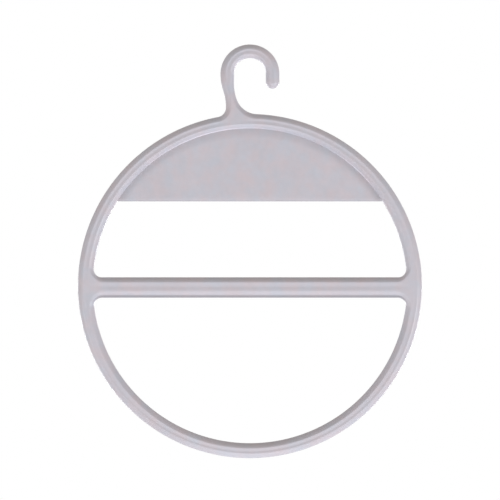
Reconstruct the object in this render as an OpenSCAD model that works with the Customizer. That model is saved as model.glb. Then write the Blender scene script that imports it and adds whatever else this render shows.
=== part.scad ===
// Ring-shaped scarf hanger: one plastic moulding, divided into its members.
// The ring stands in the XZ plane, +Z is up, and Y runs through its thickness.
// The origin is the rail seat, the highest point of the space inside the hook.
// Every outline below is worked out in the XZ plane from the centre of the ring.

/* [Ring] */
// Outer diameter of the ring
ring_d = 220; // [190:1:260]
// Width of the rim, seen from the front
rim_w = 9.5; // [8:0.1:14]
// Thickness of rim, crossbar and hook, from front to back
body_t = 8; // [6:0.1:10]
// How far the bevel of the rim's outer edge reaches in
rim_outer_w = 3.3; // [2:0.1:3.6]
// How far the bevel of the rim's inner edge reaches in
rim_inner_w = 2.9; // [2:0.1:3.6]
// Upright share of the wall under a bevel
bevel_wall = 0.36; // [0.2:0.02:0.7]
// Softness of the shoulder between a bevel and the face
bevel_shoulder = 0.15; // [0.05:0.05:0.6]
// Depth of the shallow hollow along the middle of each face
dish = 0.15; // [0:0.05:0.4]

/* [Crossbar] */
// Height of the crossbar, seen from the front
bar_h = 13; // [9:0.1:20]
// How far the crossbar's centre line lies below the centre of the ring
bar_drop = 0.9; // [0:0.1:20]
// How far the bevel of the crossbar's upper edge reaches in
bar_bevel_w = 3.4; // [2:0.1:5]
// How far the full rounding of the crossbar's lower edge reaches in
bar_under_w = 5.1; // [3:0.1:6]
// Upright share of the wall under that rounding
under_wall = 0.85; // [0.4:0.05:0.95]
// Softness of that rounding where it meets the face
under_shoulder = 0.55; // [0.3:0.05:0.8]
// Radius of the fillets between crossbar and rim
bar_fillet_r = 5.1; // [3:0.1:12]

/* [Label panel] */
// Thickness of the panel
panel_t = 2; // [1.2:0.1:3]
// Height of the panel, from the rim's inner edge at the top to its own lower edge
panel_h = 46.3; // [30:0.1:70]
// How far the rounded lip at the panel's lower edge reaches up
lip_w = 2.8; // [1:0.1:5]
// How far the hollow fillet between panel and rim reaches out over the panel
panel_fillet = 2.4; // [1:0.1:4]

/* [Hook] */
// Inner radius of the hook's bow
bow_r = 10.2; // [8:0.1:14]
// Width of the hook's bar, seen from the front
hook_w = 8.6; // [8:0.1:11]
// Height of the rail seat above the top of the ring
hook_rise = 35.9; // [34:0.1:44]
// How far the bevels of the hook's edges reach in
hook_bevel_w = 3.1; // [2:0.1:3.6]
// Straight length of the leg between the bow and the round tip
tip_leg = 5.1; // [2:0.1:8]

/* [Hook root] */
// How far the left side of the stem moves in on its way down
stem_shift = 3.5; // [2:0.1:5]
// Radius of the fillet on the left of the root
left_fillet_r = 6.2; // [4:0.1:9]
// Straight length of the stem's right side below the bow
stem_straight = 6.4; // [2:0.1:8]
// Radius of the bend that follows it
stem_bend_r = 30; // [20:1:40]
// Lean of the stem at the end of that bend, in degrees
stem_lean = 18.6; // [12:0.1:24]

/* [Hidden] */
$fn = 180;

// Stations along half a fillet, along a short straight run, and along one bend of the stem
fillet_n = 5;
run_n = 2;
bend_n = 5;
// Rows of points across an edge, and the row at which the panel's fillet runs out on the rim
edge_n = 8;
fillet_row = 3;
// Points along the panel's fillet
panel_n = 5;
// Largest share of the way from an outline to the spine that an edge takes
edge_share = 0.9;
// Length that each root takes of the rim and of the crossbar beyond its fillets
root_margin = 2;
// How far the panel's blank reaches into the rim before the rim is cut from it
panel_bite = 2;
plastic = "#c6c2cc";

half_t = body_t / 2;
ring_r = ring_d / 2;
rim_inner_r = ring_r - rim_w;
// Edges as [reach, upright share of the wall, softness of the shoulder]
rim_outer_edge = [rim_outer_w, bevel_wall, bevel_shoulder];
rim_inner_edge = [rim_inner_w, bevel_wall, bevel_shoulder];
hook_edge = [hook_bevel_w, bevel_wall, bevel_shoulder];
bar_top_edge = [bar_bevel_w, bevel_wall, bevel_shoulder];
bar_under_edge = [bar_under_w, under_wall, under_shoulder];
rim_mid_r = ring_r - rim_w / 2;
seat_z = ring_r + hook_rise;

bar_top = bar_h / 2 - bar_drop;
bar_bottom = -bar_h / 2 - bar_drop;
// Centres of the fillets at the crossbar's left end: inside the rim, above and below the bar
fillet_c_r = rim_inner_r - bar_fillet_r;
upper_fillet = [-sqrt(pow(fillet_c_r, 2) - pow(bar_top + bar_fillet_r, 2)), bar_top + bar_fillet_r];
lower_fillet = [-sqrt(pow(fillet_c_r, 2) - pow(bar_bottom - bar_fillet_r, 2)), bar_bottom - bar_fillet_r];
bar_cut_x = max(upper_fillet[0], lower_fillet[0]) + root_margin;
margin_angle = root_margin / ring_r * 180 / PI;
upper_root_a = bearing(upper_fillet) - margin_angle;
lower_root_a = bearing(lower_fillet) + margin_angle;

panel_bottom = rim_inner_r - panel_h;

bow_z = seat_z - bow_r;
stem_left_x = -bow_r - hook_w;
stem_right_x = -bow_r;
foot_x = stem_left_x + stem_shift;
// Centre of the left fillet: it touches the stem's foot and the outside of the rim
left_fillet = [foot_x - left_fillet_r,
    sqrt(pow(ring_r + left_fillet_r, 2) - pow(foot_x - left_fillet_r, 2))];
// The left side is an S of two equal arcs between the foot and the bow
s_rise = bow_z - left_fillet[1];
s_r = (pow(stem_shift, 2) + pow(s_rise, 2)) / (4 * stem_shift);
s_a = 2 * atan(stem_shift / s_rise);
// The right side is straight, then bends, then runs into the rim on a fillet that touches both
bend_c = [stem_right_x + stem_bend_r, bow_z - stem_straight];
bend_end = bend_c - stem_bend_r * polar(stem_lean);
right_fillet_r = (bend_end * bend_end - pow(ring_r, 2)) / (2 * (ring_r - bend_end * polar(stem_lean)));
right_fillet = bend_end + right_fillet_r * polar(stem_lean);
right_fillet_a = bearing(right_fillet);
hook_left_a = bearing(left_fillet) + margin_angle;
hook_right_a = right_fillet_a - margin_angle;
// Where the stem's middle meets the middle of the rim
hook_mid_a = bearing([(stem_left_x + stem_right_x) / 2 + stem_shift, rim_mid_r]);

// Unit vector at angle a, and the angle of a point seen from the ring's centre, from 0 to 360
function polar(a) = [cos(a), sin(a)];
function bearing(p) = (atan2(p[1], p[0]) + 360) % 360;
// The bearing of the mirror image of a point on the other side of the ring
function mirrored(a) = (540 - a) % 360;

// A station is a point on an outline with the direction that leads from it into the plastic.
// n stations of an arc about c from angle a0 to a1, the last left out.
// side is 1 where the plastic lies outside the arc, and -1 where it lies inside.
function arc(c, r, a0, a1, n, side) =
    [for (i = [0:n - 1]) let (a = a0 + (a1 - a0) * i / n) [c + r * polar(a), side * polar(a)]];
// n stations of a straight run from p to q, the last left out
function run(p, q, n, into) = [for (i = [0:n - 1]) [p + (q - p) * i / n, into]];
// The closing station of an outline on an arc
function arc_end(c, r, a, side) = [[c + r * polar(a), side * polar(a)]];

// Point on a cubic curve that starts along the line from 0 to a and ends along the line from b to c
function cubic(a, b, c, t) = 3 * t * pow(1 - t, 2) * a + 3 * pow(t, 2) * (1 - t) * b + pow(t, 3) * c;
// Row k of an edge, as [distance from the outline, height over the mid-plane]. The curve rises up the wall
// from the mid-plane, leans over into the bevel and turns level at the shoulder. reach limits its width.
function edge_row(edge, k, reach) = let (w = min(edge[0], reach))
    cubic([0, edge[1] * half_t], [w * (1 - edge[2]), half_t], [w, half_t], k / edge_n);

// One shaped side of a rib, from back to front. into is 1 or -1, towards the rib's middle.
function rib_edge(x, into, edge, reach) =
    [for (k = [-edge_n:edge_n]) let (e = edge_row(edge, abs(k), reach)) [x + into * e[0], sign(k) * e[1]]];
// Section of a rib between lo and hi, shaped on both sides and hollowed along its middle
function rib_section(lo, hi, lo_edge, hi_edge) = let (mid = (lo + hi) / 2, reach = edge_share * (hi - lo) / 2)
    concat(rib_edge(hi, -1, hi_edge, reach), [[mid, half_t - dish]],
        reversed(rib_edge(lo, 1, lo_edge, reach)), [[mid, dish - half_t]]);

// Rows of points from each station of an outline across its edge to the spine of the rib. The edge passes
// smoothly from the first to the last of the pair. side is -1 for the front and 1 for the back.
function strip(outline, edges, spine, side) =
    [for (i = [0:len(outline) - 1])
        let (
            p = outline[i][0],
            into = outline[i][1],
            s = spine[i],
            share = i / (len(outline) - 1),
            edge = edges[0] + (edges[1] - edges[0]) * pow(share, 2) * (3 - 2 * share),
            reach = edge_share * norm(s - p))
        concat(
            [for (k = [0:edge_n])
                let (e = edge_row(edge, k, reach), q = p + e[0] * into) [q[0], side * e[1], q[1]]],
            [[s[0], side * (half_t - dish), s[1]]])];

function reversed(list) = [for (i = [len(list) - 1:-1:0]) list[i]];
function joined(lists) = [for (list = lists) each list];
// A list without its first item
function rest(list) = [for (i = [1:len(list) - 1]) list[i]];

// Three ribs that meet in one tee. Each spine runs from the tee's middle to the end of its rib, and each
// outline from the end of one rib to the end of the next, clockwise seen from the front. edges holds, for
// each outline, the edge that it starts with and the edge that it ends with.
module tee(outlines, edges, spines) {
    paths = [for (i = [0:2]) concat(reversed(spines[i]), rest(spines[(i + 1) % 3]))];
    front = joined([for (i = [0:2]) strip(outlines[i], edges[i], paths[i], -1)]);
    back = joined([for (i = [0:2]) strip(outlines[i], edges[i], paths[i], 1)]);
    rows = len(front[0]);
    behind = len(front) * rows;
    counts = [for (outline = outlines) len(outline)];
    starts = [0, counts[0], counts[0] + counts[1]];
    skin = [for (j = [0:2]) for (i = [starts[j]:starts[j] + counts[j] - 2]) for (k = [0:rows - 2])
        let (a = i * rows + k, b = a + rows)
        each [[a, b, b + 1], [a, b + 1, a + 1],
            [behind + a, behind + b + 1, behind + b], [behind + a, behind + a + 1, behind + b + 1]]];
    ends = [for (j = [0:2])
        let (a = (starts[j] + counts[j] - 1) * rows, b = starts[(j + 1) % 3] * rows)
        reversed(concat(
            [for (k = [0:rows - 1]) a + k],
            [for (k = [rows - 2:-1:0]) b + k],
            [for (k = [1:rows - 2]) behind + b + k],
            [for (k = [rows - 1:-1:1]) behind + a + k]))];
    polyhedron(points = joined(concat(front, back)), faces = concat(skin, ends), convexity = 6);
}

// Puts a member drawn from the ring's centre into the frame of the rail seat
module placed() {
    color(plastic) translate([0, 0, -seat_z]) children();
}

// Turns a solid of revolution about Z into one about Y, with its angles seen from the front
module upright() {
    rotate([90, 0, 0]) children();
}

module rim_profile() {
    polygon(rib_section(rim_inner_r, ring_r, rim_inner_edge, rim_outer_edge));
}

module rim_arc(a0, a1) {
    placed() upright() rotate_extrude(start = a0, angle = a1 - a0) rim_profile();
}

module lower_rim() {
    rim_arc(lower_root_a, mirrored(lower_root_a));
}

module upper_rim_left() {
    rim_arc(hook_left_a, upper_root_a);
}

module upper_rim_right() {
    rim_arc(mirrored(upper_root_a), hook_right_a);
}

// The crossbar's left end: upper outline, lower outline, then the outside of the rim
module bar_root() {
    mid_a = bearing([-rim_mid_r, -bar_drop]);
    centre = rim_mid_r * polar(mid_a);
    half_n = run_n + fillet_n;
    upper = concat(
        arc([0, 0], rim_inner_r, upper_root_a, bearing(upper_fillet), run_n, 1),
        arc(upper_fillet, bar_fillet_r, bearing(upper_fillet), 270, 2 * fillet_n, 1),
        run([upper_fillet[0], bar_top], [bar_cut_x, bar_top], run_n, [0, -1]),
        [[[bar_cut_x, bar_top], [0, -1]]]);
    lower = concat(
        run([bar_cut_x, bar_bottom], [lower_fillet[0], bar_bottom], run_n, [0, 1]),
        arc(lower_fillet, bar_fillet_r, 90, bearing(lower_fillet), 2 * fillet_n, 1),
        arc([0, 0], rim_inner_r, bearing(lower_fillet), lower_root_a, run_n, 1),
        arc_end([0, 0], rim_inner_r, lower_root_a, 1));
    outer = concat(
        arc([0, 0], ring_r, lower_root_a, mid_a, half_n, -1),
        arc([0, 0], ring_r, mid_a, upper_root_a, half_n, -1),
        arc_end([0, 0], ring_r, upper_root_a, -1));
    up = [for (i = [0:half_n]) rim_mid_r * polar(mid_a + (upper_root_a - mid_a) * i / half_n)];
    down = [for (i = [0:half_n]) rim_mid_r * polar(mid_a + (lower_root_a - mid_a) * i / half_n)];
    along = [for (i = [0:half_n]) centre + ([bar_cut_x, -bar_drop] - centre) * i / half_n];
    edges = [[rim_inner_edge, bar_top_edge], [bar_under_edge, rim_inner_edge], [rim_outer_edge, rim_outer_edge]];
    tee([upper, lower, outer], edges, [up, along, down]);
}

module left_bar_root() {
    placed() bar_root();
}

module right_bar_root() {
    placed() mirror([1, 0, 0]) bar_root();
}

module crossbar() {
    placed() translate([bar_cut_x, 0, 0]) rotate([90, 0, 90])
        linear_extrude(-2 * bar_cut_x) rotate(90)
            polygon(rib_section(bar_bottom, bar_top, bar_under_edge, bar_top_edge));
}

// Sheet across the top of the ring, thinned to a rounded lip along its lower edge
module lipped_sheet(thickness) {
    lip = [for (k = [-edge_n:edge_n])
        [panel_bottom + lip_w * (1 - cos(90 * k / edge_n)), thickness / 2 * sin(90 * k / edge_n)]];
    translate([-ring_r, 0, 0]) rotate([90, 0, 90]) linear_extrude(ring_d) rotate(90)
        polygon(concat([[ring_r, -thickness / 2]], lip, [[ring_r, thickness / 2]]));
}

// Hollow fillets on both faces, between the panel and the rim. Each leaves the panel level and runs out on
// the slope of the rim's inner edge.
module panel_fillets() {
    end = edge_row(rim_inner_edge, fillet_row, rim_w) + [rim_inner_r, 0];
    below = edge_row(rim_inner_edge, fillet_row - 1, rim_w) + [rim_inner_r, 0];
    knee_x = end[0] - (end[1] - panel_t / 2) * (end[0] - below[0]) / (end[1] - below[1]);
    start_x = knee_x - panel_fillet;
    curve = [for (i = [0:panel_n]) let (t = i / panel_n)
        pow(1 - t, 2) * [start_x, panel_t / 2] + 2 * t * (1 - t) * [knee_x, panel_t / 2] + pow(t, 2) * end];
    for (side = [0, 1]) mirror([0, side, 0])
        rotate_extrude() polygon(concat([[start_x, 0]], curve, [[end[0], 0]]));
}

// Panel inside the rim. The rim's own section is cut from it, so it seats on the rim.
module label_panel() {
    fillet_t = 2 * edge_row(rim_inner_edge, fillet_row, rim_w)[1];
    placed() difference() {
        union() {
            intersection() {
                lipped_sheet(panel_t);
                upright() cylinder(h = body_t, r = rim_inner_r + panel_bite, center = true);
            }
            intersection() {
                lipped_sheet(fillet_t);
                upright() panel_fillets();
            }
        }
        upright() rotate_extrude() rim_profile();
    }
}

// The hook's stem with its root on the rim: left outline, right outline, then the inside of the rim
module hook_root() {
    left = concat(
        arc([0, 0], ring_r, hook_left_a, bearing(left_fillet), run_n, -1),
        arc(left_fillet, left_fillet_r, bearing(left_fillet) + 180, 360, 2 * fillet_n, 1),
        arc([foot_x - s_r, left_fillet[1]], s_r, 0, s_a, bend_n, 1),
        arc([stem_left_x + s_r, bow_z], s_r, 180 + s_a, 180, bend_n, -1),
        [[[stem_left_x, bow_z], [1, 0]]]);
    stem_n = fillet_n + 2 * bend_n;
    right_n = stem_n - run_n - bend_n;
    rim_n = run_n + fillet_n;
    right = concat(
        run([stem_right_x, bow_z], [stem_right_x, bend_c[1]], run_n, [-1, 0]),
        arc(bend_c, stem_bend_r, 180, 180 + stem_lean, bend_n, 1),
        arc(right_fillet, right_fillet_r, 180 + stem_lean, 180 + right_fillet_a, right_n + fillet_n, 1),
        arc([0, 0], ring_r, right_fillet_a, hook_right_a, run_n, -1),
        arc_end([0, 0], ring_r, hook_right_a, -1));
    inner = concat(
        arc([0, 0], rim_inner_r, hook_right_a, hook_mid_a, rim_n, 1),
        arc([0, 0], rim_inner_r, hook_mid_a, hook_left_a, rim_n, 1),
        arc_end([0, 0], rim_inner_r, hook_left_a, 1));
    centre = rim_mid_r * polar(hook_mid_a);
    to_left = [for (i = [0:rim_n]) rim_mid_r * polar(hook_mid_a + (hook_left_a - hook_mid_a) * i / rim_n)];
    to_right = [for (i = [0:rim_n]) rim_mid_r * polar(hook_mid_a + (hook_right_a - hook_mid_a) * i / rim_n)];
    up = concat([centre], [for (i = [1:stem_n]) (left[rim_n + i][0] + right[stem_n - i][0]) / 2]);
    edges = [[rim_outer_edge, hook_edge], [hook_edge, rim_outer_edge], [rim_inner_edge, rim_inner_edge]];
    placed() tee([left, right, inner], edges, [to_left, up, to_right]);
}

module hook_bow() {
    placed() translate([0, 0, bow_z]) upright()
        rotate_extrude(start = 0, angle = 180) polygon(rib_section(bow_r, bow_r + hook_w, hook_edge, hook_edge));
}

// The leg hangs from the bow's right end and closes with a half-round tip
module hook_tip() {
    side = rib_edge(hook_w / 2, -1, hook_edge, edge_share * hook_w / 2);
    half_section = concat([[0, dish - half_t]], side, [[0, half_t - dish]]);
    placed() translate([bow_r + hook_w / 2, 0, bow_z - tip_leg]) {
        linear_extrude(tip_leg) polygon(rib_section(-hook_w / 2, hook_w / 2, hook_edge, hook_edge));
        upright() rotate_extrude(start = 180, angle = 180) polygon(half_section);
    }
}

lower_rim();
upper_rim_left();
upper_rim_right();
left_bar_root();
right_bar_root();
crossbar();
label_panel();
hook_root();
hook_bow();
hook_tip();
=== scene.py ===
# %% [markdown]
# # A ring-shaped scarf hanger, moulded in one piece
# The real hanger is a single shot of pale lavender-grey plastic: a round rim, a bar for the scarf, a thin
# panel in the top of the ring and an open hook. The construction model gives its members at their real
# size and place. This script dresses each member in a smooth skin, gives the skins a moulded finish, and
# sets up a plain studio around them. Everything is in metres, and the origin is the seat of the rail in
# the hook.

# %% Load the construction model
import math

import bmesh
import bpy
import numpy as np
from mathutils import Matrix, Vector


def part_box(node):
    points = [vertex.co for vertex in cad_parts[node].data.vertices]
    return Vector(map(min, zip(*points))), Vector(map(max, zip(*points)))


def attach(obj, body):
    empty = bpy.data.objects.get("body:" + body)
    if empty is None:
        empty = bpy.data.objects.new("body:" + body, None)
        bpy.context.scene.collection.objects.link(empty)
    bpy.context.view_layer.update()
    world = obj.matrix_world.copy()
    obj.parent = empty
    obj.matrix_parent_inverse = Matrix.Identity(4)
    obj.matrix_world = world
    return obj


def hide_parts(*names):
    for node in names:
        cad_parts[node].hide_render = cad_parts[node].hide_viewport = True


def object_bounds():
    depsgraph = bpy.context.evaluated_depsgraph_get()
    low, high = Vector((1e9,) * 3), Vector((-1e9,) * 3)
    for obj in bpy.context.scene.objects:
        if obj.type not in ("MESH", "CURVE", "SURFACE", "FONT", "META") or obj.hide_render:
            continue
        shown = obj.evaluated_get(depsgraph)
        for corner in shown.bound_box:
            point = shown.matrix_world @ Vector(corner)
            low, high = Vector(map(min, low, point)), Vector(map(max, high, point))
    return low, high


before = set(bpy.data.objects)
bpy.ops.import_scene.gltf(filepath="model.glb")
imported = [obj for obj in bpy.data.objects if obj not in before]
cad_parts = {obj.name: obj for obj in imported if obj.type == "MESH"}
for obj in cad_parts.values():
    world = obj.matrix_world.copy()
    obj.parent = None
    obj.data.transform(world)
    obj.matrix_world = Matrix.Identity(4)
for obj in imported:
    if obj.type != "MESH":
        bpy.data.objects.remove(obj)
cad_box = [list(corner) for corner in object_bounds()]
print("construction model, lowest and highest corner:", np.round(cad_box, 4).tolist())

# %% [markdown]
# ## Sizes come from the construction model
# A skin has to lie exactly where its member is, so nothing is placed by eye. The radii, the thickness and
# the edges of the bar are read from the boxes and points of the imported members.

# %% Read the main sizes
MM = 0.001


def node_points(name):
    """All points of a member of the construction model, as rows of x, y, z."""
    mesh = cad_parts[name].data
    points = np.zeros(len(mesh.vertices) * 3, np.float32)
    mesh.vertices.foreach_get("co", points)
    return points.reshape(-1, 3).astype(float)


ring_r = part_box("right_bar_root")[1].x
ring_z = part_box("lower_rim")[0].z + ring_r
rim_points = node_points("lower_rim") - [0, 0, ring_z]
rim_inner_r = np.hypot(rim_points[:, 0], rim_points[:, 2]).min()
rim_mid_r = (ring_r + rim_inner_r) / 2
half_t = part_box("crossbar")[1].y
bar_bottom, bar_top = (corner.z - ring_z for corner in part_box("crossbar"))
bar_cut_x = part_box("crossbar")[0].x
panel_half_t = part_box("label_panel")[1].y
panel_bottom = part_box("label_panel")[0].z - ring_z
hook_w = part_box("hook_bow")[1].z
bow_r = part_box("hook_bow")[1].x - hook_w
bow_z = -bow_r - ring_z
tip_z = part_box("hook_tip")[0].z - ring_z + hook_w / 2
print(f"ring of radius {ring_r / MM:.2f} mm outside and {rim_inner_r / MM:.2f} mm inside")
print(f"its centre at z {ring_z / MM:.1f} mm, its thickness {2 * half_t / MM:.1f} mm")
print(f"bar from {bar_bottom / MM:.2f} to {bar_top / MM:.2f} mm, hook {hook_w / MM:.2f} mm wide")

# %% [markdown]
# Only the curves at the roots can't be read from a box, so those few sizes are written again here: the
# fillets at the bar's ends, the tight fillet on the left of the hook, how far the left side of the stem
# moves over in its S, and the straight run, the wide bend and the lean of its right side.

# %% The sizes of the roots
BAR_FILLET_R = 5.1 * MM
ROOT_MARGIN = 2 * MM
LEFT_FILLET_R = 6.2 * MM
STEM_SHIFT = 3.5 * MM
STEM_STRAIGHT = 6.4 * MM
STEM_BEND_R = 30 * MM
STEM_LEAN = math.radians(18.6)
print(f"fillets: {BAR_FILLET_R / MM:.1f} mm at the bar, {LEFT_FILLET_R / MM:.1f} mm left of the hook")

# %% [markdown]
# ## Outlines as stations
# Seen from the front, the hanger is a flat drawing of arcs and straight runs, with x to the right and z up
# from the centre of the ring. An outline is kept as stations: a point on the edge, and the direction that
# leads from it into the plastic. A Blender curve could draw the same line, but it doesn't tell on which
# side the plastic lies. Working with whole numpy arrays of stations keeps each shape a formula, and the
# next step can carry a rounded edge along any of them.

# %% Angles and steps
HALF_TURN = math.pi


def polar(angle):
    """Unit vector at an angle: (cos a, sin a), for one angle or for an array of them."""
    return np.stack([np.cos(angle), np.sin(angle)], axis=-1)


def bearing(point):
    """Angle of a point seen from the ring's centre, from 0 to a full turn."""
    return math.atan2(point[1], point[0]) % (2 * HALF_TURN)


def spread(start, stop, n):
    """n + 1 values at equal steps from start to stop, both included."""
    return np.linspace(start, stop, n + 1)


def shares(n):
    """n equal steps from 0 towards 1, with the last left out so that the next stretch can begin there."""
    return np.arange(n) / n


def smooth(t):
    """0 up to t = 0, 1 from t = 1, and between them 3t^2 - 2t^3, which starts and ends level."""
    t = np.clip(t, 0, 1)
    return t * t * (3 - 2 * t)


def ramp(start, stop, n):
    """n values that leave start and reach stop without a kink."""
    return start + (stop - start) * smooth(np.linspace(0, 1, n))


print("a ramp of five values:", ramp(0, 1, 5).round(2).tolist())

# %% Stretches of an outline
def arc(centre, radius, start, stop, n, side):
    """n stations on centre + radius * polar(a). side is 1 where the plastic lies outside the arc."""
    angles = start + (stop - start) * shares(n)
    return np.asarray(centre) + radius * polar(angles), side * polar(angles)


def run(first, last, n, into):
    """n stations on the straight line from first to last, all with the same direction into the plastic."""
    points = np.asarray(first) + shares(n)[:, None] * (np.asarray(last) - np.asarray(first))
    return points, np.tile(np.asarray(into, float), (n, 1))


def station(point, into):
    """A single closing station."""
    return np.asarray([point], float), np.asarray([into], float)


def outline(*stretches):
    """Stretches joined end to end, as one array of points and one of directions."""
    return np.concatenate([s[0] for s in stretches]), np.concatenate([s[1] for s in stretches])


def arc_length(points):
    """Distance walked along a polyline, at each of its points."""
    steps = np.linalg.norm(np.diff(points, axis=0), axis=1)
    return np.concatenate([[0], np.cumsum(steps)])


quarter = arc((0, 0), ring_r, 0, HALF_TURN / 2, 90, -1)[0]
print(f"a quarter of the ring, walked along its stations: {arc_length(quarter)[-1] / MM:.1f} mm")

# %% [markdown]
# ## The section of a rib
# Every member is a rib with shaped edges. From the parting plane, the wall rises for a little way, leans
# over into a bevel and turns level at a shoulder. A cubic Bezier curve draws all of that, and an edge is
# written as its three sizes: how far it reaches in, in metres, and as shares of the whole, how far its
# first control point is pulled up the wall and its second one back along the face.
#
# The face between two edges is not quite flat. Plastic shrinks as it cools, and the middle of a thick rib
# sinks by a fraction of a millimetre. That hollow is what draws the soft lines along the rim. Where the two
# halves of the mould met, a parting line runs round the outline as a very low ridge. A bevel modifier could
# shape the edges, but it can't vary them along the way or add the hollow, so the section is carried along
# the outlines by formula. Its rows lie closest together at the parting line, which is the finest shape.

# %% The section as rows
EDGE_S = np.array([0, 0.006, 0.012, 0.02, 0.035, 0.055, 0.08, 0.12, 0.17, 0.23, 0.30,
                   0.37, 0.44, 0.51, 0.58, 0.65, 0.72, 0.79, 0.86, 0.93, 1.0])
FACE_S = spread(0, 1, 10)[1:]
SECTION_V = np.concatenate([EDGE_S, 1 + FACE_S])
SINK = 0.14 * MM
PARTING_H = 0.05 * MM
PARTING_W = 0.10 * MM


def edge_curve(edge, s):
    """Distance in from the outline, and height over the mid-plane, along a cubic Bezier curve.

    Its control points are (0, 0), (0, wall * t), (width * (1 - shoulder), t) and (width, t), where t is
    half the thickness of the rib.
    """
    width, wall, shoulder = np.moveaxis(np.asarray(edge, float), -1, 0)[..., None]
    inward = width * (3 * s ** 2 * (1 - s) * (1 - shoulder) + s ** 3)
    height = half_t * (3 * s * (1 - s) ** 2 * wall + 3 * s ** 2 * (1 - s) + s ** 3)
    return inward, height


print("rows across half a rib:", len(SECTION_V))

# %% [markdown]
# Some edges carry painted light. A painted shade darkens a few of them, and a painted highlight makes
# another one light. Both are kept as one number on each point of the mesh, more than zero for the painted
# shade and less than zero for the painted highlight, which the plastic's material reads later to change its
# colour. The numbers could be painted by hand in Vertex Paint. Here they follow the rows of the grid, so
# that the painted lines run true to the edge: the painted shade lies in a line a little above the parting
# plane, and the painted highlight is strongest on the wall itself.

# %% Painted shade and highlight across an edge
# Where painted shade and painted highlight lie across an edge, as shares of the edge curve
PAINTED_SHADE_GROWS = 0.15
PAINTED_SHADE_ENDS, PAINTED_SHADE_FADES = 0.40, 0.18
PAINTED_HIGHLIGHT_ENDS, PAINTED_HIGHLIGHT_FADES = 0.24, 0.20


def painted_shade_line(s):
    """Share of the painted shade: grows from the parting plane, stays full, fades half way along the edge.
    """
    return smooth(s / PAINTED_SHADE_GROWS) * (1 - smooth((s - PAINTED_SHADE_ENDS) / PAINTED_SHADE_FADES))


def painted_highlight_line(s):
    """Share of the painted highlight: full on the wall, and gone before the middle of the edge."""
    return 1 - smooth((s - PAINTED_HIGHLIGHT_ENDS) / PAINTED_HIGHLIGHT_FADES)


def edge_painted_light(weight):
    """Painted shade or highlight on a grid: the weight along the outline times its line across the edge."""
    weight = weight[:, None]
    return weight * np.where(weight > 0, painted_shade_line(SECTION_V), painted_highlight_line(SECTION_V))


print("soil at a few rows:", painted_shade_line(EDGE_S[::4]).round(2).tolist())

# %% [markdown]
# A strip is half a rib: it reaches from an outline to the middle line, which is called the spine. Its grid
# has a row of points for each station, and both the edge and the depth of the hollow may change on the way.

# %% A strip between an outline and a spine
def strip(stations, spine, edge, depth, painted_light=0):
    """Front surface between an outline and the spine of its rib, as a grid of points.

    Rows of the edge: p + (inward - ridge) * into, at the edge's height. Rows of the face: on the straight
    line from the edge's end to the spine, at height t - depth * (1 - cos(pi s)) / 2. The weight of the
    painted shade or highlight is the same along the whole outline, or is given for each station.
    """
    points, into = stations
    edge = np.broadcast_to(edge, (len(points), 3))
    depth = np.broadcast_to(depth, len(points))[:, None]
    inward, height = edge_curve(edge, EDGE_S)
    ridge = PARTING_H * np.exp(-(height / PARTING_W) ** 2)
    bevel = points[:, None] + (inward - ridge)[..., None] * into[:, None]
    start = points + edge[:, :1] * into
    face = start[:, None] + FACE_S[:, None] * (spine - start)[:, None]
    face_height = half_t - depth * (1 - np.cos(HALF_TURN * FACE_S)) / 2
    flat = np.concatenate([bevel, face], axis=1)
    y = np.concatenate([height, face_height], axis=1)
    grid = np.stack([flat[..., 0], -y, flat[..., 1] + ring_z], axis=-1)
    # Painted shade above zero and painted highlight below zero, across the edge
    painted_light_values = edge_painted_light(np.broadcast_to(painted_light, len(points)))
    return {"grid": grid, "along": arc_length(points), "across": SECTION_V, "painted_light": painted_light_values}


# %% [markdown]
# ## From grids to a closed skin
# Each grid becomes quads. The front grid is mirrored to give the back, points that coincide are merged, and
# the open ends are filled, so that the skin is a closed solid. If Blender worked out the shading normals of
# each mesh by itself, a faint line would show at every cut between two members. They are taken from the
# grids instead, as the cross product of the two directions of the surface. Neighbouring members then have
# the same normals where they meet, and no seam shows, just as none shows on a real one-piece moulding.

# %% Normals and quads of a grid
# Shorter than any real vector, so that a vector of no length isn't divided by zero
NO_LENGTH = 1e-20


def grid_normals(part):
    """Unit normals of a grid: cross product of its slopes along and across, turned to face outwards."""
    grid = part["grid"]
    along = np.gradient(grid, part["along"], axis=0, edge_order=2)
    across = np.gradient(grid, part["across"], axis=1, edge_order=2)
    normal = np.cross(along, across)
    normal /= np.maximum(np.linalg.norm(normal, axis=2, keepdims=True), NO_LENGTH)
    return normal * -np.sign(normal[..., 1].sum())


def grid_quads(rows, columns, first):
    """Quads of a grid of points that are numbered from first, row after row."""
    corner = first + np.arange(rows - 1)[:, None] * columns + np.arange(columns - 1)
    return np.stack([corner, corner + 1, corner + columns + 1, corner + columns], axis=-1).reshape(-1, 4)


print("quads of a grid of 3 by 3 points:", grid_quads(3, 3, 0).tolist())

# %% Merge points, close the ends and set the normals
WELD = 1e-7


def merge_points(points, normals, painted_light):
    """Points that round to the same multiple of WELD become one, and their normals are averaged."""
    _, keep, merged = np.unique(np.round(points / WELD), axis=0, return_index=True, return_inverse=True)
    merged = merged.reshape(-1)
    summed = np.zeros((len(keep), 3))
    np.add.at(summed, merged, normals)
    summed /= np.linalg.norm(summed, axis=1, keepdims=True)
    # Each point keeps its painted shade or painted highlight
    painted_light_values = np.zeros(len(keep))
    painted_light_values[merged] = painted_light
    return points[keep], merged, summed, painted_light_values


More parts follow.
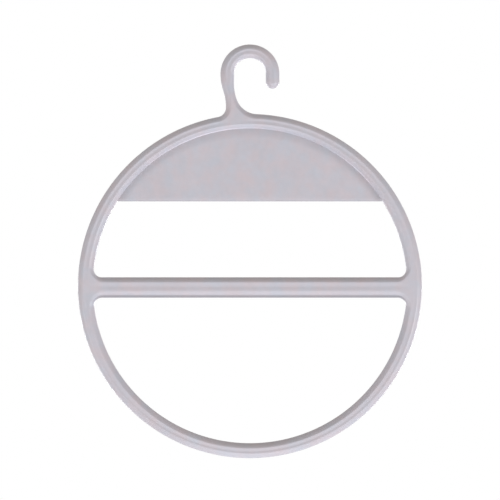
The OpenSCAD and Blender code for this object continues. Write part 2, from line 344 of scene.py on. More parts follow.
def close_shell(mesh):
    """Fill the open ends with flat faces and turn all faces outwards. Gives back the volume inside."""
    shell = bmesh.new()
    shell.from_mesh(mesh)
    open_edges = [edge for edge in shell.edges if edge.is_boundary]
    caps = bmesh.ops.holes_fill(shell, edges=open_edges, sides=0)["faces"]
    for face in shell.faces:
        face.smooth = True
    for face in caps:
        face.smooth = False
    bmesh.ops.recalc_face_normals(shell, faces=shell.faces)
    shell.to_mesh(mesh)
    volume = shell.calc_volume(signed=True)
    shell.free()
    return volume


def set_normals(mesh, normals, side_corners):
    """Give the corners of the side faces their point's normal. A zero leaves a cap its own flat normal."""
    corner_vertex = np.zeros(len(mesh.loops), np.int32)
    mesh.loops.foreach_get("vertex_index", corner_vertex)
    corner_normals = normals[corner_vertex]
    corner_normals[side_corners:] = 0
    mesh.normals_split_custom_set(corner_normals.tolist())


# %% Build a skin from its strips
MIRROR_Y = np.array([1, -1, 1])
members = {}


def build_skin(name, parts):
    """Closed mesh from front grids: mirrored to the back, merged, ends filled, normals from the grids."""
    grids = [p["grid"] for p in parts] + [p["grid"] * MIRROR_Y for p in parts]
    fronts = [grid_normals(p) for p in parts]
    points = np.concatenate([g.reshape(-1, 3) for g in grids])
    normals = np.concatenate([n.reshape(-1, 3) for n in fronts + [f * MIRROR_Y for f in fronts]])
    painted_light = np.concatenate([p["painted_light"].reshape(-1) for p in parts + parts])
    firsts = np.cumsum([0] + [g.shape[0] * g.shape[1] for g in grids[:-1]])
    quads = np.concatenate([grid_quads(g.shape[0], g.shape[1], f) for g, f in zip(grids, firsts)])

    points, merged, normals, painted_light_values = merge_points(points, normals, painted_light)
    mesh = bpy.data.meshes.new(name + "_skin")
    mesh.from_pydata(points, [], merged[quads])
    # Painted shade (above zero) or painted highlight (below zero) on each point, read by the material
    mesh.attributes.new("painted_light", "FLOAT", "POINT").data.foreach_set("value", painted_light_values)
    volume = close_shell(mesh)
    set_normals(mesh, normals, quads.size)
    piece = bpy.data.objects.new(name + "_skin", mesh)
    bpy.context.scene.collection.objects.link(piece)
    members[name] = piece
    print(f"{name}: {len(mesh.vertices)} points, {volume / MM ** 3 / 1000:.2f} cm3")


def rib(name, left, right, spine, left_edge, right_edge, right_painted_light=0):
    """A rib between two outlines that share one spine."""
    # The right outline may carry painted shade or a painted highlight
    build_skin(name, [
        strip(left, spine, left_edge, SINK),
        strip(right, spine, right_edge, SINK, right_painted_light)])


# %% [markdown]
# ## The rim
# The rim is three arcs of one rib: the long one below the bar, and one on each side of the hook. A torus or
# a profile spun about the centre would be quicker, but the roots couldn't go on from it with the same edges
# and the same rows. The arcs end where the roots begin, so the fillets at the roots are worked out first. A
# fillet that touches the inside of the rim and the bar has its centre one fillet radius inside the rim and
# one away from the bar.

# %% Where the bar's roots begin
MARGIN_ANGLE = ROOT_MARGIN / ring_r
fillet_c_r = rim_inner_r - BAR_FILLET_R


def bar_fillet(height):
    """Centre of a fillet at the bar's left end, at that height over the ring's centre."""
    return np.array([-math.sqrt(fillet_c_r ** 2 - height ** 2), height])


upper_fillet = bar_fillet(bar_top + BAR_FILLET_R)
lower_fillet = bar_fillet(bar_bottom - BAR_FILLET_R)
upper_root_a = bearing(upper_fillet) - MARGIN_ANGLE
lower_root_a = bearing(lower_fillet) + MARGIN_ANGLE
print(f"left root from {math.degrees(upper_root_a):.1f} to {math.degrees(lower_root_a):.1f} degrees")

# %% [markdown]
# On the left of the hook, the fillet touches the rim from outside and stands beside the foot of the stem.
# On the right, the wide bend of the stem runs into a second fillet, and that fillet's radius follows from
# where the bend ends and from the ring that it has to touch.

# %% Where the hook's root begins
stem_left_x = -bow_r - hook_w
stem_right_x = -bow_r
foot_x = stem_left_x + STEM_SHIFT
left_fillet_x = foot_x - LEFT_FILLET_R
left_fillet = np.array([left_fillet_x, math.sqrt((ring_r + LEFT_FILLET_R) ** 2 - left_fillet_x ** 2)])
bend_c = np.array([stem_right_x + STEM_BEND_R, bow_z - STEM_STRAIGHT])
bend_end = bend_c - STEM_BEND_R * polar(STEM_LEAN)
right_fillet_r = (bend_end @ bend_end - ring_r ** 2) / (2 * (ring_r - bend_end @ polar(STEM_LEAN)))
right_fillet = bend_end + right_fillet_r * polar(STEM_LEAN)
hook_left_a = bearing(left_fillet) + MARGIN_ANGLE
hook_right_a = bearing(right_fillet) - MARGIN_ANGLE
print(f"root of the hook from {math.degrees(hook_right_a):.1f} to {math.degrees(hook_left_a):.1f} degrees")
print(f"right fillet of the hook: {right_fillet_r / MM:.1f} mm")

# %% [markdown]
# Along two stretches of the rim's inner edge, above and on the right of the panel, a painted highlight
# makes the plastic light. Each stretch is a soft bell over the angle, so the highlight has no ends that
# show.

# %% The three arcs of the rim
RIM_OUTER = (3.3 * MM, 0.36, 0.15)
RIM_INNER = (2.9 * MM, 0.36, 0.15)
RIM_STEP = math.radians(1.0)
# Strength, middles and reaches of the painted highlight on the rim's inner edge
HIGHLIGHT_STRENGTH = 1.20
HIGHLIGHT_TOP = math.radians(105), math.radians(20)
HIGHLIGHT_RIGHT = math.radians(47), math.radians(9)


def rim_highlight(angles):
    """Painted highlight on the rim: the sum of two bells, each exp(-((angle - middle) / reach)^2)."""
    bells = [np.exp(-((angles - middle) / reach) ** 2) for middle, reach in (HIGHLIGHT_TOP, HIGHLIGHT_RIGHT)]
    return -HIGHLIGHT_STRENGTH * sum(bells)


def rim_arc(name, start, stop):
    """A stretch of the rim: two arcs about the ring's centre, with the spine between them."""
    angles = spread(start, stop, round((stop - start) / RIM_STEP))
    outside = ring_r * polar(angles), -polar(angles)
    inside = rim_inner_r * polar(angles), polar(angles)
    rib(name, outside, inside, rim_mid_r * polar(angles), RIM_OUTER, RIM_INNER, rim_highlight(angles))


rim_arc("lower_rim", lower_root_a, 3 * HALF_TURN - lower_root_a)
rim_arc("upper_rim_left", hook_left_a, upper_root_a)
rim_arc("upper_rim_right", HALF_TURN - upper_root_a, hook_right_a)

# %% [markdown]
# ## The crossbar
# The bar's top edge is bevelled like the rim. Its lower edge is a fuller rounding that reaches in 4.6 mm,
# and a dark line of painted shade runs along it. A cube with a bevel modifier would give both edges
# one and the same rounding, and no sink. As a rib between two straight outlines, the bar has all of it.

# %% The crossbar
BAR_TOP = (3.1 * MM, 0.36, 0.15)
BAR_BOTTOM = (4.6 * MM, 0.70, 0.30)
BAR_N = 60
bar_mid = (bar_top - BAR_TOP[0] + bar_bottom + BAR_BOTTOM[0]) / 2


def bar_line(z):
    """Points from the bar's left cut to its right cut, at one height."""
    return np.stack([spread(bar_cut_x, -bar_cut_x, BAR_N), np.full(BAR_N + 1, z)], axis=-1)


down = np.tile([0.0, -1.0], (BAR_N + 1, 1))
# The bar's lower edge carries a full line of painted shade
rib("crossbar", (bar_line(bar_top), down), (bar_line(bar_bottom), -down), bar_line(bar_mid),
    BAR_TOP, BAR_BOTTOM, right_painted_light=1)

# %% [markdown]
# ## The bar's roots
# Where the bar meets the rim, three ribs run together in a T with a fillet on each side. The surface is
# three strips. Each reaches from an outline to the spines of the two ribs beside it, and the strips share
# those spines, so the skin is closed with no patch in the corner. A boolean union of bar and ring would
# leave a hard crease in each corner, and a bevel along such a crease seldom keeps its width. The sink fades
# towards the middle of the T, and on the fillets the edges are steeper, and mostly narrower, than on the
# ribs beside them.

# %% Tees
def edge_run(keys, n):
    """n edges along an outline that go smoothly from each key edge to the next, at equal distances."""
    keys = np.asarray(keys)
    at = np.linspace(0, len(keys) - 1, n)
    before = np.minimum(at.astype(int), len(keys) - 2)
    share = smooth(at - before)[:, None]
    return keys[before] * (1 - share) + keys[before + 1] * share


def tee(name, outlines, spines, edges, painted_lights, mirrored=False):
    """Three ribs that meet in a T.

    Each spine runs from the middle outwards. The outline between two spines runs from the end of the first
    to the end of the second, so its strip follows the first spine inwards and the second one outwards.
    """
    parts = []
    # Each outline brings its own painted shade or painted highlight
    for i, (stations, keys, painted_light) in enumerate(zip(outlines, edges, painted_lights)):
        inbound, outbound = spines[i][::-1], spines[(i + 1) % 3]
        path = np.concatenate([inbound, outbound[1:]])
        fade = np.concatenate([ramp(1, 0, len(inbound)), ramp(0, 1, len(outbound))[1:]])
        part = strip(stations, path, edge_run(keys, len(path)), SINK * fade, painted_light)
        if mirrored:
            part["grid"] = part["grid"] * [-1, 1, 1]
        parts.append(part)
    build_skin(name, parts)


# %% The outlines of the bar's left root
FILLET_N = 20
MARGIN_N = 6
root_n = FILLET_N + MARGIN_N
bar_mid_a = bearing([-rim_mid_r, bar_mid])

above = outline(
    arc((0, 0), rim_inner_r, upper_root_a, bearing(upper_fillet), MARGIN_N, 1),
    arc(upper_fillet, BAR_FILLET_R, bearing(upper_fillet), 1.5 * HALF_TURN, 2 * FILLET_N, 1),
    run((upper_fillet[0], bar_top), (bar_cut_x, bar_top), MARGIN_N, (0, -1)),
    station((bar_cut_x, bar_top), (0, -1)))
below = outline(
    run((bar_cut_x, bar_bottom), (lower_fillet[0], bar_bottom), MARGIN_N, (0, 1)),
    arc(lower_fillet, BAR_FILLET_R, 0.5 * HALF_TURN, bearing(lower_fillet), 2 * FILLET_N, 1),
    arc((0, 0), rim_inner_r, bearing(lower_fillet), lower_root_a, MARGIN_N, 1),
    station(rim_inner_r * polar(lower_root_a), polar(lower_root_a)))
outside = outline(
    arc((0, 0), ring_r, lower_root_a, bar_mid_a, root_n, -1),
    arc((0, 0), ring_r, bar_mid_a, upper_root_a, root_n, -1),
    station(ring_r * polar(upper_root_a), -polar(upper_root_a)))
print("stations above, below and outside:", len(above[0]), len(below[0]), len(outside[0]))

# %% [markdown]
# The right root is the left one mirrored. The bar's line of painted shade runs on under the lower fillet
# and fades out where the rim begins.

# %% The two roots of the bar
UPPER_CORNER = (2.0 * MM, 0.60, 0.35)
LOWER_CORNER = (3.4 * MM, 0.75, 0.50)
up_rim = rim_mid_r * polar(spread(bar_mid_a, upper_root_a, root_n))
along_bar = spread(rim_mid_r * polar(bar_mid_a), np.array([bar_cut_x, bar_mid]), root_n)
down_rim = rim_mid_r * polar(spread(bar_mid_a, lower_root_a, root_n))
bar_root_edges = [
    (RIM_INNER, UPPER_CORNER, BAR_TOP),
    (BAR_BOTTOM, LOWER_CORNER, RIM_INNER),
    (RIM_OUTER, RIM_OUTER)]
# Painted shade along the lower outline, fading out towards the rim
bar_root_painted_shade = [0, ramp(1, 0, len(below[0])), 0]
bar_root_spines = (up_rim, along_bar, down_rim)
for name, mirrored in (("left_bar_root", False), ("right_bar_root", True)):
    tee(name, (above, below, outside), bar_root_spines, bar_root_edges, bar_root_painted_shade, mirrored)

# %% [markdown]
# ## The hook
# The hook grows out of the rim on two unequal fillets, a tight one on the left and a long sweeping one on
# the right. Its left side is an S of two equal arcs, its right side a straight run, a wide bend and the
# fillet. Above it, the bow is half a ring, and the leg ends in a half-round tip. A profile swept along a
# curve could make the bow, but not the stem, whose sides run apart as it nears the rim. So each side gets
# an outline of its own, and the spine runs half way between the two. The hook's inner edge is narrower than
# its outer one.

# %% The outlines of the hook's root
BEND_N = 20
s_rise = bow_z - left_fillet[1]
s_radius = (STEM_SHIFT ** 2 + s_rise ** 2) / (4 * STEM_SHIFT)
s_turn = 2 * math.atan(STEM_SHIFT / s_rise)
stem_n = FILLET_N + 2 * BEND_N
right_n = stem_n - MARGIN_N - BEND_N + FILLET_N
right_fillet_a = bearing(right_fillet)
hook_mid_a = bearing([(stem_left_x + stem_right_x) / 2 + STEM_SHIFT, rim_mid_r])

left = outline(
    arc((0, 0), ring_r, hook_left_a, bearing(left_fillet), MARGIN_N, -1),
    arc(left_fillet, LEFT_FILLET_R, bearing(left_fillet) - HALF_TURN, 0, 2 * FILLET_N, 1),
    arc((foot_x - s_radius, left_fillet[1]), s_radius, 0, s_turn, BEND_N, 1),
    arc((stem_left_x + s_radius, bow_z), s_radius, HALF_TURN + s_turn, HALF_TURN, BEND_N, -1),
    station((stem_left_x, bow_z), (1, 0)))
right = outline(
    run((stem_right_x, bow_z), (stem_right_x, bend_c[1]), MARGIN_N, (-1, 0)),
    arc(bend_c, STEM_BEND_R, HALF_TURN, HALF_TURN + STEM_LEAN, BEND_N, 1),
    arc(right_fillet, right_fillet_r, HALF_TURN + STEM_LEAN, HALF_TURN + right_fillet_a, right_n, 1),
    arc((0, 0), ring_r, right_fillet_a, hook_right_a, MARGIN_N, -1),
    station(ring_r * polar(hook_right_a), -polar(hook_right_a)))
inside = outline(
    arc((0, 0), rim_inner_r, hook_right_a, hook_mid_a, root_n, 1),
    arc((0, 0), rim_inner_r, hook_mid_a, hook_left_a, root_n, 1),
    station(rim_inner_r * polar(hook_left_a), polar(hook_left_a)))
print(f"S of the stem: two arcs of {s_radius / MM:.0f} mm radius, {math.degrees(s_turn):.1f} degrees each")

# %% The hook's root
HOOK_OUTER = (3.4 * MM, 0.36, 0.25)
HOOK_INNER = (2.3 * MM, 0.50, 0.30)
to_left = rim_mid_r * polar(spread(hook_mid_a, hook_left_a, root_n))
to_right = rim_mid_r * polar(spread(hook_mid_a, hook_right_a, root_n))
halfway = (left[0][root_n:] + right[0][:stem_n + 1][::-1]) / 2
up_stem = np.concatenate([rim_mid_r * polar(hook_mid_a)[None], halfway[1:]])
hook_root_edges = [(RIM_OUTER, HOOK_OUTER), (HOOK_INNER, RIM_OUTER), (RIM_INNER, RIM_INNER)]
# The rim's painted highlight runs on along the inner edge at the hook's root
hook_root_painted_light = [0, 0, rim_highlight(np.linspace(hook_right_a, hook_left_a, len(inside[0])))]
tee("hook_root", (left, right, inside), (to_left, up_stem, to_right), hook_root_edges, hook_root_painted_light)

# %% The bow
BOW_N = 90
angles = spread(0, HALF_TURN, BOW_N)
bow_centre = np.array([0, bow_z])
rib("hook_bow",
    (bow_centre + (bow_r + hook_w) * polar(angles), -polar(angles)),
    (bow_centre + bow_r * polar(angles), polar(angles)),
    bow_centre + (bow_r + hook_w / 2) * polar(angles), HOOK_OUTER, HOOK_INNER)

# %% [markdown]
# The tip needs care at its end. If all rows of a half-round end ran to one point, the quads there would
# shrink to nothing. The spine stops a little short of the rounding instead, and both sides share the last
# row, so the end has no pole.

# %% The tip
LEG_N = 12
TIP_N = 40
TIP_REACH = 0.5 * MM
TIP_EDGE = (2.9 * MM, 0.42, 0.25)
tip_c = np.array([bow_r + hook_w / 2, tip_z])


def tip_side(sign):
    """One side of the leg, from the bow down and round to the lowest point. sign is -1 on the left."""
    top = tip_c + [sign * hook_w / 2, bow_z - tip_z]
    turn = HALF_TURN if sign < 0 else 0
    bottom = 1.5 * HALF_TURN if sign < 0 else -0.5 * HALF_TURN
    return outline(
        run(top, tip_c + [sign * hook_w / 2, 0], LEG_N, (-sign, 0)),
        arc(tip_c, hook_w / 2, turn, bottom, TIP_N, -1),
        station(tip_c - [0, hook_w / 2], (0, 1)))


leg = run(tip_c + [0, bow_z - tip_z], tip_c, LEG_N, (0, 0))[0]
reach = tip_c - np.stack([np.zeros(TIP_N + 1), TIP_REACH * shares(TIP_N + 1)], axis=-1)
tip_spine = np.concatenate([leg, reach])
tip_depth = SINK * np.concatenate([ramp(1, 0, LEG_N), np.zeros(TIP_N + 1)])
build_skin("hook_tip", [
    strip(tip_side(sign), tip_spine, edge_run((edge, TIP_EDGE), len(tip_spine)), tip_depth)
    for sign, edge in ((-1, HOOK_INNER), (1, HOOK_OUTER))])

# %% [markdown]
# ## The panel
# The top of the ring is filled by a thin panel, set back 3 mm from the faces of the rim. Its lower edge
# thins out to a rounded lip, and it meets the rim in a nearly sharp corner. A flat plate pushed into the
# rim would show a ragged line where the two meshes cross. The panel's surface is worked out instead along
# lines that run from the lower edge to the rim, like the ribs of a fan, and that end exactly on the rim's
# edge. To find where, the edge curve is read backwards: how far out does it lie at a given height, and how
# steep is it there?

# %% The rim's inner edge, read by its height
# The slope is rise over run, and the run is never taken as less than NO_STEP
CURVE_N = 2000
NO_STEP = 1e-9
rim_edge_in, rim_edge_h = edge_curve(RIM_INNER, spread(0, 1, CURVE_N))
rim_edge_slope = np.gradient(rim_edge_h) / np.maximum(np.gradient(rim_edge_in), NO_STEP)


def rim_reach(height):
    """How far out the inside of the rim lies at a height over the mid-plane."""
    return rim_inner_r + np.interp(height, rim_edge_h, rim_edge_in)


def rim_slope(height):
    """Rise of the rim's edge for each step outwards, at that height."""
    return np.interp(height, rim_edge_h, rim_edge_slope)


print(f"the rim's edge lies {(rim_reach(panel_half_t) - rim_inner_r) / MM:.2f} mm in at the panel's face")

# %% [markdown]
# Each line of the fan has four stretches: the rows of the lip, the flat face, the corner, and a seat that
# follows the rim's wall down to the mid-plane. The corner is a quadratic Bezier curve with its knee where
# the rim's slope, drawn on downwards, meets the face. It leaves the face level and reaches the rim on that
# slope. Where the fan runs out at the sides, there is less room for the stretches, so each is held to a
# share of it.

# %% Where the stretches of the panel begin
PANEL_N = 220
CORNER_GAP = math.radians(0.15)
LIP_W = 1.3 * MM
FILLET_RISE = 0.15
FLAT_ARM = 1.2
FILLET_ROOM, LIP_ROOM = 0.4, 0.8


def lip_height(distance):
    """Half thickness of the panel at a distance from its lower edge: a quarter ellipse, then level."""
    share = np.clip(distance / LIP_W, 0, 1)
    return panel_half_t * np.sqrt(1 - (1 - share) ** 2)


corner_a = math.asin(panel_bottom / rim_inner_r)
fan = spread(HALF_TURN - corner_a - CORNER_GAP, corner_a + CORNER_GAP, PANEL_N)[:, None]
body_h = lip_height(rim_inner_r * np.sin(fan) - panel_bottom)
top_h = body_h * (1 + FILLET_RISE)
fillet_end = rim_reach(top_h)
fillet_knee = fillet_end - body_h * FILLET_RISE / rim_slope(top_h)
fillet_len = FLAT_ARM * (fillet_end - fillet_knee) + body_h * FILLET_RISE
edge_r = panel_bottom / np.sin(fan)
fillet_start = fillet_knee - np.minimum(fillet_len, FILLET_ROOM * (fillet_knee - edge_r))
lip = np.minimum(LIP_W / np.sin(fan), LIP_ROOM * (fillet_start - edge_r))
print(f"panel from {math.degrees(corner_a):.1f} to {math.degrees(HALF_TURN - corner_a):.1f} degrees")

# %% The rows of the panel
LIP_PHI = np.radians([0, 3, 7, 12, 18, 25, 32, 40, 48, 56, 64, 72, 80, 90])
FACE_U = spread(0, 1, 15)[1:]
FILLET_U = spread(0, 1, 10)[1:]
SEAT_U = spread(1, 0, 5)[1:]


def bezier(first, knee, last, t):
    """Quadratic Bezier curve: (1 - t)^2 first + 2 t (1 - t) knee + t^2 last."""
    return (1 - t) ** 2 * first + 2 * t * (1 - t) * knee + t ** 2 * last


lip_r = edge_r + lip * (1 - np.cos(LIP_PHI))
face_r = edge_r + lip + FACE_U * (fillet_start - edge_r - lip)
flat_r = np.concatenate([lip_r, face_r], axis=1)
flat_h = lip_height(flat_r * np.sin(fan) - panel_bottom)
bend_r = bezier(fillet_start, fillet_knee, fillet_end, FILLET_U)
bend_h = bezier(flat_h[:, -1:], body_h, top_h, FILLET_U)
seat_h = top_h * SEAT_U
radius = np.concatenate([flat_r, bend_r, rim_reach(seat_h)], axis=1)
height = np.concatenate([flat_h, bend_h, seat_h], axis=1)
panel_grid = np.stack([radius * np.cos(fan), -height, radius * np.sin(fan) + ring_z], axis=-1)
print("points of the panel's front:", radius.size)

# %% [markdown]
# Painted shade darkens the corner between panel and rim, and the panel's lip. In the corner it fades out
# over a few millimetres of the face.

# %% The panel, with its painted shade
# Strength of the painted shade in the corner and on the lip, how far the corner's shade reaches, and where
# it is full
CORNER_SHADE, LIP_SHADE = 0.38, 0.6
SHADE_CLEAR = 5.5 * MM
SHADE_FULL = 0.8 * MM
corner_shade = CORNER_SHADE * smooth((radius - rim_inner_r + SHADE_CLEAR) / (SHADE_CLEAR - SHADE_FULL))
lip_shade = LIP_SHADE * (1 - smooth((radius * np.sin(fan) - panel_bottom) / LIP_W))
build_skin("label_panel", [{
    "grid": panel_grid,
    "along": fan[:, 0],
    "across": arc_length(panel_grid[PANEL_N // 2]),
    "painted_light": np.maximum(corner_shade, lip_shade)}])

# %% [markdown]
# ## The finish
# The plastic is opaque, with a satin surface such as a spark-eroded mould gives: a grain of fine pits that
# are felt more than seen. The colour drifts very slightly where the melt flowed, a little paler here and
# darker there, and a little warmer or cooler. A painted texture would need unwrapped meshes and would break
# off at every cut. Both effects are noise on object coordinates instead, so they run on across the members.
# A node group keeps each effect in one place, with named sockets.

# %% Helpers for nodes
def group_with(name, inputs, outputs):
    """A new shader node group with these sockets, and its two end nodes."""
    tree = bpy.data.node_groups.new(name, "ShaderNodeTree")
    for label, kind, value in inputs:
        socket = tree.interface.new_socket(label, in_out="INPUT", socket_type=kind)
        if value is not None:
            socket.default_value = value
    for label, kind in outputs:
        tree.interface.new_socket(label, in_out="OUTPUT", socket_type=kind)
    return tree, tree.nodes.new("NodeGroupInput"), tree.nodes.new("NodeGroupOutput")


def add(tree, kind, **settings):
    """A new node in the tree, with its settings. A setting named input_ and a number sets that socket."""
    node = tree.nodes.new(kind)
    for key, value in settings.items():
        if key.startswith("input_"):
            node.inputs[int(key.removeprefix("input_"))].default_value = value
        else:
            setattr(node, key, value)
    return node


def noise(tree, vector, scale, detail, roughness=0.5):
    """A 3-D noise texture, centred on 0.5."""
    node = add(tree, "ShaderNodeTexNoise", noise_dimensions="3D")
    node.inputs["Scale"].default_value = scale
    node.inputs["Detail"].default_value = detail
    node.inputs["Roughness"].default_value = roughness
    tree.links.new(vector, node.inputs["Vector"])
    return node


# %% Node groups for the grain and the drift
PIT_SIZE = 0.2 * MM
BROAD_CLOUDS, SMALL_CLOUDS, TINT_CLOUDS = 45, 260, 110
NOISE_LOW, NOISE_HIGH = 0.3, 0.7


def spark_grain():
    """Pits of a spark-eroded mould. Height is a fine noise with pits of about the given size."""
    tree, start, end = group_with(
        "spark_grain",
        [("Vector", "NodeSocketVector", None), ("Pit size", "NodeSocketFloat", PIT_SIZE)],
        [("Height", "NodeSocketFloat")])
    scale = add(tree, "ShaderNodeMath", operation="DIVIDE", input_0=1.0)
    tree.links.new(start.outputs["Pit size"], scale.inputs[1])
    fine = noise(tree, start.outputs["Vector"], scale=1, detail=2, roughness=0.6)
    tree.links.new(scale.outputs[0], fine.inputs["Scale"])
    tree.links.new(fine.outputs["Fac"], end.inputs["Height"])
    return tree


def melt_drift():
    """Clouds where the melt flowed. Drift is a broad noise mixed with a small one, Tint a third noise."""
    tree, start, end = group_with(
        "melt_drift",
        [("Vector", "NodeSocketVector", None)],
        [("Drift", "NodeSocketFloat"), ("Tint", "NodeSocketFloat")])
    broad = noise(tree, start.outputs["Vector"], BROAD_CLOUDS, detail=2)
    small = noise(tree, start.outputs["Vector"], SMALL_CLOUDS, detail=3, roughness=0.6)
    both = add(tree, "ShaderNodeMix", data_type="FLOAT", input_0=0.5)
    tree.links.new(broad.outputs["Fac"], both.inputs[2])
    tree.links.new(small.outputs["Fac"], both.inputs[3])
    tree.links.new(both.outputs[0], end.inputs["Drift"])
    tint = noise(tree, start.outputs["Vector"], TINT_CLOUDS, detail=3)
    contrast = add(tree, "ShaderNodeMapRange", input_1=NOISE_LOW, input_2=NOISE_HIGH)
    tree.links.new(tint.outputs["Fac"], contrast.inputs[0])
    tree.links.new(contrast.outputs[0], end.inputs["Tint"])
    return tree


GRAIN = spark_grain()
DRIFT = melt_drift()
print("node groups:", GRAIN.name, DRIFT.name)

# %% The moulded plastic
PLASTIC = (0.500, 0.491, 0.566, 1)
WARM = (1.045, 0.988, 0.970, 1)
COOL = (0.955, 1.012, 1.030, 1)
PALER, DARKER = 1.045, 0.955
# Share of the colour left under full painted shade; a painted highlight, below zero, lifts it over one
PAINTED_SHADE_KEEPS = 0.54
ROUGHNESS, ROUGHNESS_DRIFT = 0.42, 0.05
GRAIN_STRENGTH, GRAIN_DEPTH = 0.25, 0.04 * MM


def drift_range(tree, drift, low, high):
    """The drift stretched to run from low to high."""
    node = add(tree, "ShaderNodeMapRange", input_1=NOISE_LOW, input_2=NOISE_HIGH, input_3=low, input_4=high)
    tree.links.new(drift.outputs["Drift"], node.inputs[0])
    return node.outputs[0]


def plastic_colour(tree, drift):
    """Base colour with a warm or cool tint, times the drift's level, times the painted shade or highlight.
    """
    warm, cool = np.multiply(PLASTIC, WARM), np.multiply(PLASTIC, COOL)
    tint = add(tree, "ShaderNodeMix", data_type="RGBA", input_6=cool, input_7=warm)
    tree.links.new(drift.outputs["Tint"], tint.inputs[0])
    # The painted shade and painted highlight on each point of the skins
    painted_light = add(tree, "ShaderNodeAttribute", attribute_name="painted_light")
    kept = add(tree, "ShaderNodeMapRange", clamp=False, input_3=1.0, input_4=PAINTED_SHADE_KEEPS)
    tree.links.new(painted_light.outputs["Fac"], kept.inputs[0])
    level = add(tree, "ShaderNodeMath", operation="MULTIPLY")
    tree.links.new(drift_range(tree, drift, DARKER, PALER), level.inputs[0])
    tree.links.new(kept.outputs[0], level.inputs[1])
    shade = add(tree, "ShaderNodeVectorMath", operation="SCALE")
    tree.links.new(tint.outputs[2], shade.inputs[0])
    tree.links.new(level.outputs[0], shade.inputs["Scale"])
    return shade.outputs[0]


def moulded_plastic():
    """Satin lavender-grey plastic: drifting colour and gloss, painted shade and highlight, grain as bump.
    """
    material = bpy.data.materials.new("moulded_plastic")
    material.use_nodes = True
    tree = material.node_tree
    shader = tree.nodes["Principled BSDF"]
    place = add(tree, "ShaderNodeTexCoord").outputs["Object"]
    drift = add(tree, "ShaderNodeGroup", node_tree=DRIFT)
    tree.links.new(place, drift.inputs["Vector"])
    tree.links.new(plastic_colour(tree, drift), shader.inputs["Base Color"])
    satin = drift_range(tree, drift, ROUGHNESS - ROUGHNESS_DRIFT, ROUGHNESS + ROUGHNESS_DRIFT)
    tree.links.new(satin, shader.inputs["Roughness"])
    grain = add(tree, "ShaderNodeGroup", node_tree=GRAIN)
    tree.links.new(place, grain.inputs["Vector"])
    bump = add(tree, "ShaderNodeBump", input_0=GRAIN_STRENGTH, input_1=GRAIN_DEPTH)
    tree.links.new(grain.outputs["Height"], bump.inputs["Height"])
    tree.links.new(bump.outputs["Normal"], shader.inputs["Normal"])
    return material


# %% Dress the members
plastic = moulded_plastic()
for name, piece in members.items():
    piece.data.materials.append(plastic)
    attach(piece, "root")
    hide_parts(name)
print("members dressed:", len(members))

# %% [markdown]
# ## The studio
# The hanger hangs in the open over a pale floor. A sheet bent up behind it is the usual backdrop, but that
# has an edge somewhere, and the hanger is looked at from all sides. So the world itself is white where the
# camera, a reflection or a transmitted ray sees it, and a plain level of soft, slightly warm light
# everywhere else. The floor adds what its own colour lacks to white in the same way, so that it runs into
# the background and still shows a shadow.

# %% World
AMBIENT = 0.33
ROOM_LIGHT = (1.0, 0.83, 0.63, 1)
WHITE = (1, 1, 1, 1)


def seen_directly(tree):
    """1 where a camera, glossy or transmission ray looks, and 0 for the rays that light other things."""
    path = add(tree, "ShaderNodeLightPath")
    mirrored = add(tree, "ShaderNodeMath", operation="MAXIMUM")
    tree.links.new(path.outputs["Is Glossy Ray"], mirrored.inputs[0])
    tree.links.new(path.outputs["Is Transmission Ray"], mirrored.inputs[1])
    seen = add(tree, "ShaderNodeMath", operation="MAXIMUM")
    tree.links.new(path.outputs["Is Camera Ray"], seen.inputs[0])
    tree.links.new(mirrored.outputs[0], seen.inputs[1])
    return seen.outputs[0]


def white_world():
    """Background white where it is seen, and a plain level of soft light for the rest."""
    world = bpy.data.worlds.new("studio")
    bpy.context.scene.world = world
    world.use_nodes = True
    tree = world.node_tree
    tree.nodes.clear()
    ambient = add(tree, "ShaderNodeBackground", input_0=ROOM_LIGHT, input_1=AMBIENT)
    white = add(tree, "ShaderNodeBackground", input_0=WHITE, input_1=1.0)
    mix = add(tree, "ShaderNodeMixShader")
    tree.links.new(seen_directly(tree), mix.inputs[0])
    tree.links.new(ambient.outputs[0], mix.inputs[1])
    tree.links.new(white.outputs[0], mix.inputs[2])
    tree.links.new(mix.outputs[0], add(tree, "ShaderNodeOutputWorld").inputs[0])


white_world()
print("soft light of the room:", [round(AMBIENT * part, 3) for part in ROOM_LIGHT[:3]])

# %% Floor
FLOOR_Z = -2.6
FLOOR_SIZE = 10.0
FLOOR_COLOUR = (0.85, 0.85, 0.85, 1)
FLOOR_LACKS = (0.72, 0.76, 0.82, 1)
FLOOR_ROUGHNESS = 0.9


def floor_paint():
    """Matt pale paint that adds what it lacks to white where it is seen. It lights nothing by that."""
    paint = bpy.data.materials.new("floor_paint")
    paint.use_nodes = True
    shader = paint.node_tree.nodes["Principled BSDF"]
    shader.inputs["Base Color"].default_value = FLOOR_COLOUR
    shader.inputs["Roughness"].default_value = FLOOR_ROUGHNESS
    shader.inputs["Emission Color"].default_value = FLOOR_LACKS
    paint.node_tree.links.new(seen_directly(paint.node_tree), shader.inputs["Emission Strength"])
    paint.cycles.emission_sampling = "NONE"
    return paint


def pale_floor():
    """A square floor well below the hanger."""
    half = FLOOR_SIZE / 2
    corners = [(x, y, FLOOR_Z) for x, y in ((-half, -half), (half, -half), (half, half), (-half, half))]
    mesh = bpy.data.meshes.new("floor")
    mesh.from_pydata(corners, [], [(0, 1, 2, 3)])
    mesh.materials.append(floor_paint())
    floor = bpy.data.objects.new("floor", mesh)
    bpy.context.scene.collection.objects.link(floor)


pale_floor()
print(f"floor {cad_box[0][2] - FLOOR_Z:.2f} m below the hanger")

# %% [markdown]
# Each lamp is given as a level: the share of its own colour that a white surface facing the lamp would
# show. An area lamp of W watts at a distance d gives W / (pi d)^2 of that, so the watts follow from the
# level. Together with the room's light, the levels add up to about one at the front face, so the plastic
# renders about as its colour is written. The light comes from the sides and from low in front, and hardly
# any from above. That leaves the bevels that face up in shade and makes those that face down glow, as in
# the photograph.

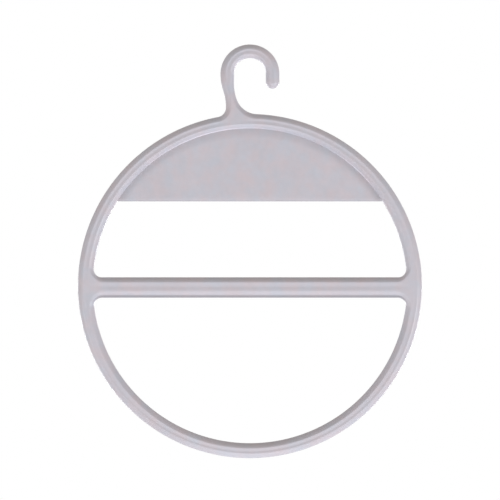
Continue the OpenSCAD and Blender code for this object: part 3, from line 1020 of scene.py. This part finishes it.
# %% Lamps
DAYLIGHT = (0.97, 0.985, 1.0)
centre = np.mean(cad_box, axis=0)


def lamp(name, azimuth, elevation, distance, size, level):
    """A square area lamp, turned towards the hanger's centre from a direction. Azimuth 0 is in front."""
    data = bpy.data.lights.new(name, "AREA")
    data.size = size
    data.energy = level * (math.pi * distance) ** 2
    data.color = DAYLIGHT
    light = bpy.data.objects.new(name, data)
    bpy.context.scene.collection.objects.link(light)
    turn, rise = math.radians(azimuth), math.radians(elevation)
    way = Vector((math.sin(turn) * math.cos(rise), -math.cos(turn) * math.cos(rise), math.sin(rise)))
    light.location = Vector(centre) + distance * way
    light.rotation_euler = way.to_track_quat("Z", "Y").to_euler()
    light.visible_camera = False
    print(f"{name}: {data.energy:.1f} W")


# Azimuth and elevation in degrees, distance and size in metres, and the level
lamp("right", 70, -15, 3.2, 1.3, 0.46)
lamp("left", -70, -15, 3.2, 1.3, 0.27)
lamp("front_low", 0, -35, 3.2, 1.4, 0.27)
lamp("front", 0, -12, 3.2, 1.3, 0.15)
lamp("under", 0, -80, 2.2, 0.9, 0.14)
lamp("over", 0, 60, 3.2, 1.3, 0.14)
lamp("back_left", -150, -12, 3.2, 1.3, 0.35)
lamp("back_right", 150, -12, 3.2, 1.3, 0.35)

# %% [markdown]
# ## The camera
# The photograph looks straight at the front of the ring. It shows a strip 320 mm wide at the hanger's
# plane, and it was taken from some way off, because hardly any of the thickness shows inside the ring. An
# orthographic camera would show none of it. A long lens from 1.2 m away gives the same strip and the right
# trace of depth.

# %% Camera
CAMERA_X = 0.05 * MM
CAMERA_Z = -122.8 * MM
CAMERA_D = 1.2
SEEN_W = 319.75 * MM
SENSOR_W = 36.0

camera_data = bpy.data.cameras.new("camera")
camera_data.sensor_width = SENSOR_W
camera_data.lens = SENSOR_W * CAMERA_D / SEEN_W
camera = bpy.data.objects.new("camera", camera_data)
bpy.context.scene.collection.objects.link(camera)
camera.location = (CAMERA_X, -CAMERA_D, CAMERA_Z)
camera.rotation_euler = (HALF_TURN / 2, 0, 0)
bpy.context.scene.camera = camera
bpy.context.scene.view_settings.view_transform = "Standard"
print(f"lens {camera_data.lens:.1f} mm")
